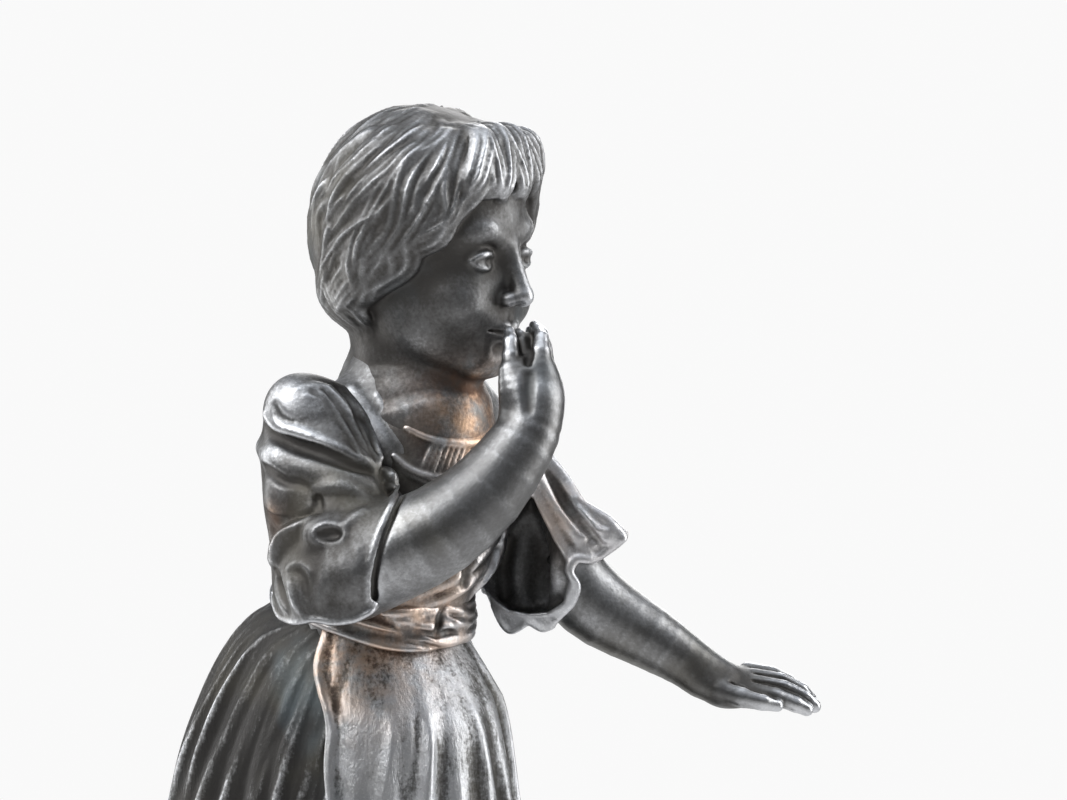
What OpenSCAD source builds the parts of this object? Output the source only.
// Cast bronze statuette of a girl on a turned stone socle, built from its separate castings.
// Millimetres. Origin at the centre of the underside, +Z up, the figure's chest faces -Y.

/* [Figure] */
// Height of the girl from the ground to the crown
figure_h = 285; // [250:5:320]
// Wall of the hollow castings
wall = 2.4; // [1.8:0.1:2.8]
// Gap between castings that plug into each other
fit_gap = 0.1; // [0.05:0.05:0.2]

/* [Base] */
// Diameter of the stone socle at its foot
socle_d = 104; // [100:2:112]
// Height of the stone socle
socle_h = 32.5; // [28:0.5:40]
// Diameter of the bronze ground casting
ground_d = 88; // [84:1:90]
// Thickness of the bronze ground casting
ground_h = 8; // [7:0.5:10]
// Thickness of the felt pad
felt_h = 1.5; // [1:0.5:3]

/* [Fasteners] */
// Diameter of the tie rod that clamps socle and ground together
rod_d = 6; // [5:0.5:7]
// Shank diameter of the screws that hold the castings
screw_d = 3; // [2.5:0.5:3.5]
// Diameter of the cross pins that lock the neck and the forearms
pin_d = 1.8; // [1.5:0.1:2]

/* [Hidden] */

drawn_h = 285;                       // the figure below is written at this height
size = figure_h / drawn_h;
socle_top = felt_h + socle_h;
ground_top = socle_top + ground_h;
step = 3;                            // rings between two key sections
limb_sides = 18;
body_sides = 36;

bronze = [0.36, 0.36, 0.37];
warm_bronze = [0.52, 0.42, 0.33];
brass = [0.72, 0.60, 0.34];
steel = [0.62, 0.63, 0.65];
stone = [0.16, 0.15, 0.15];
felt = [0.12, 0.22, 0.16];

// Key sections of the castings: centre x, y, z, half width, half depth, then the rise of the
// back in degrees and the turn to the figure's left in degrees. z is above the ground.
skirt_keys = [
    [0, 6.5, 62, 40, 44, 0, 0], [0, 8, 90, 37, 43.5, 0, 0], [-0.5, 9, 118, 34, 42, 1, 0],
    [-1, 9.2, 142, 30.5, 40, 2, 0], [-1, 8.4, 160, 27.8, 37.5, 5, 0], [-1, 5, 172, 25.5, 33.8, 9, 0],
    [-1, 1.5, 181, 22.5, 29.5, 13, 0], [-0.9, -1.5, 187, 19.5, 23, 16, 0], [-0.8, -5.5, 189.4, 17.5, 16.8, 16, 0]];
bodice_keys = [
    [-0.8, -5.5, 189.5, 16, 15.2, 16, 0], [-0.7, -7, 196, 15.8, 14.8, 14, 0], [0, -9.5, 205, 17.5, 15.5, 12, 0],
    [0.8, -12, 214, 18.5, 15.5, 11, 0], [1, -13.5, 222, 17.5, 14, 10, 0], [1, -14.2, 228, 14, 12, 12, 0],
    [1, -14.5, 231, 10.5, 10.8, 14, 0]];
sash_keys = [
    [-0.8, -5.5, 189.6, 17.6, 16.8, 16, 0], [-0.8, -6.1, 193, 18.2, 17.4, 15, 0], [-0.8, -6.7, 197, 17.4, 16.4, 14, 0]];
neck_keys = [[1, -14.5, 225, 6.6, 6.6, 14, 0], [1, -14.5, 231.1, 6.6, 6.6, 14, 0]];
head_keys = [
    [1, -14.5, 231.2, 9.6, 9.8, 14, 25], [1.2, -14.5, 236, 9.6, 12, 4, 25], [2.5, -17.5, 239.5, 12, 16.5, 0, 25],
    [3, -19, 246, 16, 20, 0, 25], [2.4, -18.2, 257, 18.8, 22, 0, 25], [2, -17.8, 267, 19.2, 22, 0, 25],
    [2.4, -18, 275, 16.5, 19.4, 0, 25], [1.8, -17, 281, 11, 13.5, 0, 25], [1, -16, 285, 4, 5, 0, 25]];
right_sleeve_keys = [
    [-20.4, -27.3, 193.4, 6, 6.5, 0, 0], [-21, -25.7, 197.2, 10.6, 11.5, 0, 0], [-21, -22.6, 206, 11.8, 14, 0, 0],
    [-20.2, -17.2, 215.4, 11.6, 13.5, 0, 0], [-19.3, -13.6, 224.4, 11, 12, 0, 0], [-17, -12, 232.5, 8.6, 9, 0, 0],
    [-15.9, -11.6, 235.8, 3.5, 3.5, 0, 0]];

// Paths of the round limbs: x, y, z and radius.
left_sleeve_path = [[17, -14.7, 226.3, 5], [19, -14.9, 222.2, 8], [21.8, -15.4, 216.2, 9.8], [24.8, -16.2, 209.2, 11],
                    [27.8, -16.9, 203, 13], [31.2, -18.5, 197.5, 14.4]];
right_forearm_path = [[-20, -27.5, 203, 8.6], [-15.2, -33, 207, 8.9], [-9.2, -38.2, 211, 8.2],
                      [-2.1, -42.2, 217.5, 7.2], [3.9, -44.3, 225.5, 6.1], [6.9, -44.5, 232, 5.1]];
left_forearm_path = [[27, -18.8, 203, 6.6], [34, -22.1, 194, 6.9], [43.5, -27.7, 187.6, 5.6], [53.3, -33.4, 180.7, 4]];
right_leg_path = [[-10, 12, 9, 6.4], [-10, 11.5, 20, 6.2], [-9.6, 12.5, 40, 8], [-9.2, 11, 58, 7.6], [-8.9, 9, 80, 8],
                  [-8.9, 8, 110, 8.4]];
left_leg_path = [[10, 0, 9, 6.4], [10, -0.5, 20, 6.2], [10, 1.5, 40, 8], [9.6, 2, 58, 7.6], [9, 5, 80, 8],
                 [8.9, 8, 110, 8.4]];

// Where the castings meet and are fastened.
bridge_z = 106;
bridge_y = 8;
lug_x = 27;
leg_x = 8.9;
shoulder_z = 221.5;
shoulder_y = -13.5;
neck_x = 1;
neck_y = -14.5;
neck_pin_z = 228.6;
waist_at = [-0.8, -5.5, 189.4];

// A smooth list of sections through the keys.
function blend(a, b, c, d, t) =
    0.5 * (2 * b + (c - a) * t + (2 * a - 5 * b + 4 * c - d) * t * t + (3 * b - a - 3 * c + d) * t * t * t);
function smooth(keys, n = step) = let (last = len(keys) - 1) concat(
    [for (i = [0 : last - 1], s = [0 : n - 1])
        blend(keys[max(i - 1, 0)], keys[i], keys[i + 1], keys[min(i + 2, last)], s / n)],
    [keys[last]]);

// One level section as a ring of points, grown outwards by grow.
function section(k, grow = 0, sides = body_sides) = [for (i = [0 : sides - 1])
    section_point(k, 360 * i / sides, grow)];
function section_point(k, a, grow) = let (
    x = (k[3] + grow) * cos(a), y = (k[4] + grow) * sin(a),
    tx = x * cos(k[6]) - y * sin(k[6]), ty = x * sin(k[6]) + y * cos(k[6]))
    [k[0] + tx, k[1] + ty * cos(k[5]), k[2] + ty * sin(k[5])];
function sections(keys, grow = 0) = [for (k = smooth(keys)) section(k, grow)];
function reversed(list) = [for (i = [len(list) - 1 : -1 : 0]) list[i]];

// Rings square to a limb's path.
function unit(v) = v / norm(v);
function place(k) = [k[0], k[1], k[2]];
function limb_rings(path, grow = 0, n = step) = let (p = smooth(path, n), last = len(p) - 1)
    [for (i = [0 : last]) let (
        t = unit(place(p[min(i + 1, last)]) - place(p[max(i - 1, 0)])),
        u = unit(cross([0, 1, 0.2], t)), v = cross(t, u))
        [for (s = [0 : limb_sides - 1]) let (a = 360 * s / limb_sides)
            place(p[i]) + (p[i][3] + grow) * (cos(a) * u + sin(a) * v)]];

// A closed solid over a list of rings, with flat ends, or joined end to end when loop is true.
module skin(rings, loop = false) {
    n = len(rings[0]);
    m = len(rings);
    points = [for (r = rings) each r];
    sides = [for (j = [0 : loop ? m - 1 : m - 2], i = [0 : n - 1])
        let (a = j * n + i, b = j * n + (i + 1) % n, c = (j + 1) % m * n + i, d = (j + 1) % m * n + (i + 1) % n)
        each [[a, c, d], [a, d, b]]];
    ends = loop ? [] : [[for (i = [0 : n - 1]) i], [for (i = [n - 1 : -1 : 0]) (m - 1) * n + i]];
    polyhedron(points, concat(sides, ends), convexity = 8);
}

// Keeps a difference of castings as one mesh.
module one_mesh() { resize([0, 0, 0]) children(); }

// Stands the figure on the ground at its real height.
module figure() { translate([0, 0, ground_top]) scale(size) children(); }

module screw(shank, length, head_d, head_h) {
    cylinder(d = shank, h = length, $fn = 32);
    translate([0, 0, -head_h]) cylinder(d = head_d, h = head_h, $fn = 32);
}

// ---- base ----

module felt_pad() {
    color(felt) cylinder(d = socle_d - 6, h = felt_h, $fn = 96);
}

module socle() {
    r = socle_d / 2;
    top_r = ground_d / 2 + 2;
    color(stone) translate([0, 0, felt_h]) difference() {
        rotate_extrude($fn = 128) polygon(concat(
            [[0, 0], [r - 0.8, 0], [r, 0.8], [r, 7]],
            [for (a = [0 : 15 : 90]) [r - 2.5 * sin(a), 9.5 - 2.5 * cos(a)]],
            [[r - 4, 9.5]],
            [for (a = [0 : 9 : 90]) [r - 4 - (r - 4 - top_r) * sin(a), socle_h - 7 - (socle_h - 17.5) * cos(a)]],
            [[top_r, socle_h - 6]],
            [for (a = [-90 : 15 : 90]) [top_r + 1.6 * cos(a), socle_h - 3.6 + 1.6 * sin(a)]],
            [[top_r, socle_h - 2], [top_r, socle_h - 0.6], [top_r - 0.6, socle_h], [0, socle_h]]));
        translate([0, 0, -1]) cylinder(d = rod_d + 1, h = socle_h + 2, $fn = 48);
        translate([0, 0, -1]) cylinder(d = 22, h = 13, $fn = 64);
    }
}

module tie_rod() {
    color(steel) translate([0, 0, felt_h + 4]) cylinder(d = rod_d, h = socle_h - 4 + 5, $fn = 32);
}

module tie_washer() {
    color(steel) translate([0, 0, felt_h + 10.4]) difference() {
        cylinder(d = 18, h = 1.6, $fn = 48);
        translate([0, 0, -1]) cylinder(d = rod_d + 0.4, h = 4, $fn = 32);
    }
}

module tie_nut() {
    color(brass) translate([0, 0, felt_h + 5.3]) difference() {
        cylinder(d = rod_d * 1.9, h = 5, $fn = 6);
        translate([0, 0, -1]) cylinder(d = rod_d + 0.1, h = 7, $fn = 32);
    }
}

foot_holes = [[-10, 14], [-13, -8], [10, 2], [13, -20]];

module ground() {
    r = ground_d / 2;
    color(bronze) translate([0, 0, socle_top]) difference() {
        rotate_extrude($fn = 128) polygon(concat(
            [[0, 0], [r - 0.5, 0], [r, 0.8]],
            [for (a = [0 : 15 : 90]) [r - 3 + 3 * cos(a), ground_h - 3 + 3 * sin(a)]],
            [[0, ground_h]]));
        translate([0, 0, -1]) cylinder(d = rod_d + 0.1, h = 6.2, $fn = 32);
        for (p = foot_holes) translate([size * p.x, size * p.y, -1]) {
            cylinder(d = screw_d + 0.3, h = ground_h + 2, $fn = 32);
            cylinder(d = 6.4, h = 3.4, $fn = 32);
        }
    }
}

module foot_screws() {
    color(steel) for (p = foot_holes)
        translate([size * p.x, size * p.y, socle_top + 2.3]) screw(screw_d, ground_h + 1.2, 6, 2);
}

// ---- legs and the bridge inside the skirt ----

// A buttoned boot on its sole. The ankle stands over the origin and the toe points to -Y.
module boot(turn) {
    rotate(turn) {
        hull() {
            translate([0, 4.5, 0]) cylinder(r = 6.2, h = 2, $fn = 32);
            translate([0, -24, 0]) cylinder(r = 6.8, h = 2, $fn = 32);
        }
        hull() {
            translate([0, 4, 6.2]) sphere(r = 6.2, $fn = 32);
            translate([0, -22, 6]) sphere(r = 6, $fn = 32);
            translate([0, 0, 16]) sphere(r = 6.4, $fn = 32);
        }
    }
}

module leg(path, at, turn) {
    color(bronze) figure() difference() {
        union() {
            skin(limb_rings(path));
            translate([at.x, at.y, 0]) boot(turn);
        }
        for (p = foot_holes) translate([p.x, p.y, -1]) cylinder(d = screw_d / size, h = 4.9, $fn = 32);
        translate([leg_x * sign(at.x), bridge_y, bridge_z - 9]) cylinder(d = screw_d / size, h = 20, $fn = 32);
        translate([-30, -30, bridge_z]) cube([60, 60, 20]);
    }
}

module right_leg() { leg(right_leg_path, right_leg_path[0], -8); }
module left_leg() { leg(left_leg_path, left_leg_path[0], 8); }

module leg_bridge() {
    color(bronze) figure() difference() {
        hull() for (side = [-1, 1]) translate([side * 22, bridge_y, bridge_z + 0.1])
            cylinder(r = 9, h = 4, $fn = 32);
        for (x = [-leg_x, leg_x, -lug_x, lug_x]) translate([x, bridge_y, bridge_z - 1])
            cylinder(d = (screw_d + 0.4) / size, h = 8, $fn = 32);
    }
}

module leg_screws() {
    color(steel) figure() for (x = [-leg_x, leg_x]) translate([x, bridge_y, bridge_z + 4.2])
        mirror([0, 0, 1]) screw(screw_d, 12, 6, 2);
}

module bridge_screws() {
    color(steel) figure() for (x = [-lug_x, lug_x]) translate([x, bridge_y, bridge_z])
        screw(screw_d, 7.5, 5, 1.8);
}

// ---- dress ----

function skirt_outer(grow = 0) = sections(skirt_keys, grow);
waist_flange = [[-0.8, -5.5, 189.4, 5, 5, 16, 0], [-0.8, -5.5, 187, 5, 5, 16, 0]];

module skirt() {
    inner = [for (k = smooth(skirt_keys)) if (k[2] < 186.5) section(k, -wall)];
    color(bronze) figure() one_mesh() difference() {
        union() {
            skin(concat(skirt_outer(), [for (k = waist_flange) section(k)], reversed(inner)), loop = true);
            intersection() {
                skin(skirt_outer(-wall / 2));
                for (side = [-1, 1]) translate([side * 33 - 9.5, bridge_y - 5, bridge_z + 4.3]) cube([19, 10, 6]);
            }
        }
        for (x = [-lug_x, lug_x]) translate([x, bridge_y, bridge_z]) cylinder(d = screw_d + 0.1, h = 8, $fn = 24);
    }
}

apron_half = 41;      // degrees that the apron reaches to each side of the front
apron_t = 1.5;
apron_keys = [for (k = smooth(skirt_keys)) if (k[2] > 84) k];

// The outline of a curved panel that lies on the skirt, as closed rings that run round its edge.
module skirt_panel(keys, from, to, lift, thick, n = 12) {
    skin([for (k = keys) concat(
        [for (i = [0 : n]) section_point(k, from + (to - from) * i / n, lift + thick)],
        [for (i = [n : -1 : 0]) section_point(k, from + (to - from) * i / n, lift)])]);
}

module apron() {
    color(bronze) figure() skirt_panel(apron_keys, 270 - apron_half, 270 + apron_half, fit_gap, apron_t);
}

module waist_bolt() {
    color(steel) figure() translate(waist_at) rotate([16, 0, 0]) translate([0, 0, -4.6])
        screw(4, 12, 12, 2);
}

module waist_nut() {
    color(brass) figure() translate(waist_at) rotate([16, 0, 0]) translate([0, 0, 3]) difference() {
        cylinder(d = 8.4, h = 3, $fn = 6);
        translate([0, 0, -1]) cylinder(d = 4.1, h = 5, $fn = 32);
    }
}

module sash() {
    outer = sections(sash_keys);
    inner = [for (k = smooth(sash_keys)) section([k[0], k[1], k[2], 16.2, 15.6, k[5], 0])];
    color(bronze) figure() one_mesh() difference() {
        skin(concat(outer, reversed(inner)), loop = true);
        skin(sections(bodice_keys, fit_gap));
    }
}

// The bow at the back: two flat loops, a knot and two tails that lie on the skirt.
bow_loop_keys = [[0, 0, 1.5, 2, 1.6, 0, 0], [0, 0, 5, 4.2, 2.4, 0, 0], [0, 0, 9, 3, 1.6, 0, 0]];
bow_at = [-0.8, 12.8, 196.5];

module apron_bow() {
    color(bronze) figure() one_mesh() difference() {
        union() {
            translate(bow_at) {
                for (side = [-1, 1]) rotate([0, side * 98, 0])
                    skin([for (k = smooth(bow_loop_keys)) section(k, 0, 20)]);
                sphere(r = 2.8, $fn = 20);
            }
            for (a = [83, 97]) skirt_panel(
                [for (k = smooth(skirt_keys)) if (k[2] > 146 && k[2] < 188) k], a - 4, a + 4, fit_gap, 1.4, 3);
            hull() {
                translate(bow_at) sphere(r = 2.4, $fn = 16);
                for (x = [-3, 1.5]) translate([x, 20.5, 194.6]) sphere(r = 1.9, $fn = 16);
            }
        }
        skin(sections(bodice_keys, 2));
        skin(sections(sash_keys, fit_gap));
        skin(skirt_outer(fit_gap));
    }
}

module bodice_solid(grow = 0) { skin(sections(bodice_keys, grow)); }

module bodice() {
    keys = smooth(bodice_keys);
    inner = [for (k = keys) if (k[2] > 192.5 && k[2] < 228) section(k, -wall)];
    throat = [for (z = [231, 226.5]) [neck_x, neck_y, z, 6.7, 6.7, 14, 0]];
    floor_hole = [for (z = [191.9, 189.5]) [waist_at.x, waist_at.y, z, 3, 3, 16, 0]];
    color(bronze) figure() difference() {
        skin(concat(sections(bodice_keys), [for (k = throat) section(k)], reversed(inner),
                    [for (k = floor_hole) section(k)]), loop = true);
        translate([neck_x, shoulder_y, shoulder_z]) rotate([0, 90, 0])
            cylinder(d = screw_d + 0.3, h = 60, center = true, $fn = 32);
        translate([neck_x, neck_y, neck_pin_z]) rotate([0, 90, 0]) cylinder(d = pin_d, h = 40, center = true, $fn = 24);
    }
}

// The gathered insert that fills the neckline: a plate on the chest below the throat.
chemisette_keys = [for (k = smooth(bodice_keys)) if (k[2] > 214.5 && k[2] < 229.5) k];

module chemisette() {
    color(warm_bronze) figure() skin([for (k = chemisette_keys) let (half = 16 + (k[2] - 214) * 1.6) concat(
        [for (i = [0 : 12]) section_point(k, 270 - half + half * i / 6, fit_gap + 1)],
        [for (i = [12 : -1 : 0]) section_point(k, 270 - half + half * i / 6, fit_gap)])]);
}

module shoulder_screw(side) {
    x = side < 0 ? -15 : 16.5;
    color(steel) figure() translate([x + side * 0.5, shoulder_y, shoulder_z]) rotate([0, side * 90, 0])
        translate([0, 0, -2.4]) screw(screw_d, 12, 5.4, 1.6);
}

module right_shoulder_screw() { shoulder_screw(-1); }
module left_shoulder_screw() { shoulder_screw(1); }

module shoulder_hole() {
    translate([neck_x, shoulder_y, shoulder_z]) rotate([0, 90, 0])
        cylinder(d = screw_d, h = 56, center = true, $fn = 32);
}

// The cross pin of a forearm, square to it and level.
module elbow_pin(path, length) {
    along = unit(place(path[1]) - place(path[0]));
    side = unit(cross(along, [0, 0, 1]));
    translate(place(path[0]) + along * 1.5)
        rotate([0, 90, atan2(side.y, side.x)]) cylinder(d = pin_d, h = length, center = true, $fn = 24);
}

module right_elbow_pin() { color(brass) figure() elbow_pin(right_forearm_path, 19); }
module left_elbow_pin() { color(brass) figure() elbow_pin(left_forearm_path, 16); }

module right_sleeve() {
    color(bronze) figure() difference() {
        one_mesh() difference() {
            skin(sections(right_sleeve_keys));
            bodice_solid(fit_gap);
            skin(sections(head_keys, fit_gap));
            skin(limb_rings(right_forearm_path, fit_gap));
            skin(sections(sash_keys, fit_gap));
            skin(skirt_outer(fit_gap));
        }
        shoulder_hole();
        elbow_pin(right_forearm_path, 19);
    }
}

module left_sleeve() {
    color(bronze) figure() difference() {
        one_mesh() difference() {
            skin(limb_rings(left_sleeve_path));
            bodice_solid(fit_gap);
            skin(limb_rings(left_forearm_path, fit_gap));
        }
        shoulder_hole();
        elbow_pin(left_forearm_path, 16);
    }
}

module ball(p, r) { translate(p) sphere(r = r, $fn = 20); }

// Raised hand: palm towards the face, thumb on the figure's right, forefinger at the lip.
module right_forearm() {
    color(bronze) figure() difference() {
        union() {
            skin(limb_rings(right_forearm_path));
            hull() { ball([6.9, -44.5, 232], 5); ball([6.6, -44.2, 238], 3.8); ball([9.6, -44.6, 239], 3.4); }
            hull() { ball([7.4, -44, 239.5], 2.7); ball([10.4, -43.6, 240.5], 2.5); ball([9.4, -40.4, 245.6], 1.7); }
            hull() { ball([4.6, -43.4, 236], 2.1); ball([5, -40.6, 243.4], 1.6); }
        }
        elbow_pin(right_forearm_path, 19);
    }
}

// Outstretched hand: palm down, thumb towards the front.
module left_forearm() {
    color(bronze) figure() difference() {
        union() {
            skin(limb_rings(left_forearm_path));
            hull() { ball([53.3, -33.4, 180.7], 3.9); ball([60, -36.2, 180], 3.4); ball([58.6, -40, 178.4], 3); }
            hull() { ball([60.6, -36.2, 180], 3); ball([60, -40.4, 178], 2.4);
                ball([69.6, -40, 175.8], 1.8); ball([68.2, -43, 175], 1.6); }
            hull() { ball([55.6, -37, 178.6], 2.6); ball([62.5, -42.4, 176.8], 1.8); }
        }
        elbow_pin(left_forearm_path, 16);
    }
}

module head() {
    keys = smooth(head_keys);
    cavity = [for (k = keys) if (k[2] > 243 && k[2] < 281) section(k, -wall)];
    throat = [[1.5, -15.5, 238, 4.2, 4.2, 0, 0], [neck_x, neck_y, 225, 4.2, 4.2, 14, 0]];
    color(bronze) figure() difference() {
        skin(concat(reversed(cavity), [for (k = throat) section(k)],
                    [for (k = neck_keys) section(k)], sections(head_keys)));
        translate([neck_x, neck_y, neck_pin_z]) rotate([0, 90, 0]) cylinder(d = pin_d, h = 40, center = true, $fn = 24);
    }
}

module neck_pin() {
    color(brass) figure() translate([neck_x, neck_y, neck_pin_z]) rotate([0, 90, 0])
        cylinder(d = pin_d, h = 22, center = true, $fn = 24);
}

felt_pad();
socle();
tie_rod();
tie_washer();
tie_nut();
ground();
foot_screws();
right_leg();
left_leg();
leg_bridge();
leg_screws();
bridge_screws();
skirt();
apron();
waist_bolt();
waist_nut();
sash();
apron_bow();
bodice();
chemisette();
right_sleeve();
left_sleeve();
right_shoulder_screw();
left_shoulder_screw();
right_forearm();
left_forearm();
right_elbow_pin();
left_elbow_pin();
head();
neck_pin();
